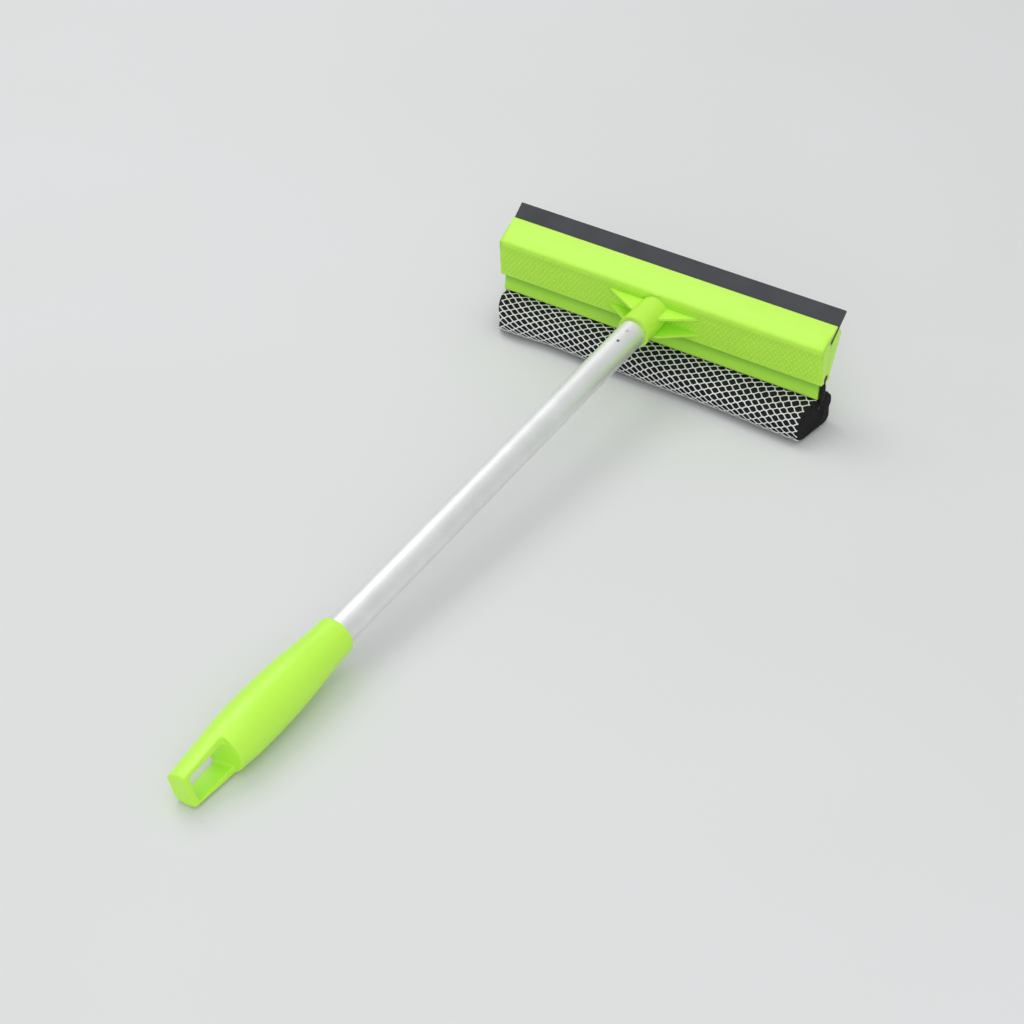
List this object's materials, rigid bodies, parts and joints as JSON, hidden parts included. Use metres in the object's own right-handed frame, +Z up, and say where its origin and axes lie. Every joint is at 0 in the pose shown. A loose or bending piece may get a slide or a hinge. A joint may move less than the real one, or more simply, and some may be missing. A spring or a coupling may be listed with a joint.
{
  "type": "window scrubber",
  "caption": "Window scrubber with a round tube handle, hang-loop grip, a wide head with a rubber wiping blade on top and a removable netted sponge pad below.",
  "frame": {"origin": "on the floor, under the middle of the object's bounding box, lying as in the picture", "axes": "+X along the head, +Y from the grip to the blade, +Z up from the floor"},
  "size_m": [0.25, 0.5158, 0.0808],
  "materials": {
    "green_plastic": "satin gloss moulded plastic",
    "rubber": "matt black rubber",
    "foam": "black open-cell foam",
    "net": "light grey knitted netting",
    "black_plastic": "matt black plastic",
    "tube": "satin drawn aluminium"
  },
  "bodies": {
    "frame": {"front_shell": "green_plastic", "rear_shell": "green_plastic", "handle_tube": "tube", "grip": "green_plastic"},
    "blade": {"rubber_blade": "rubber"},
    "pad": {"foam_pad": "foam", "net_sleeve": "net", "retaining_strip": "black_plastic"}
  },
  "joints": [
    {"name": "blade_slide", "type": "slide", "parent": "frame", "child": "blade", "axis": [1, 0, 0], "range_m": [0, 0.255]},
    {"name": "pad_slide", "type": "slide", "parent": "frame", "child": "pad", "axis": [1, 0, 0], "range_m": [0, 0.255]}
  ]
}
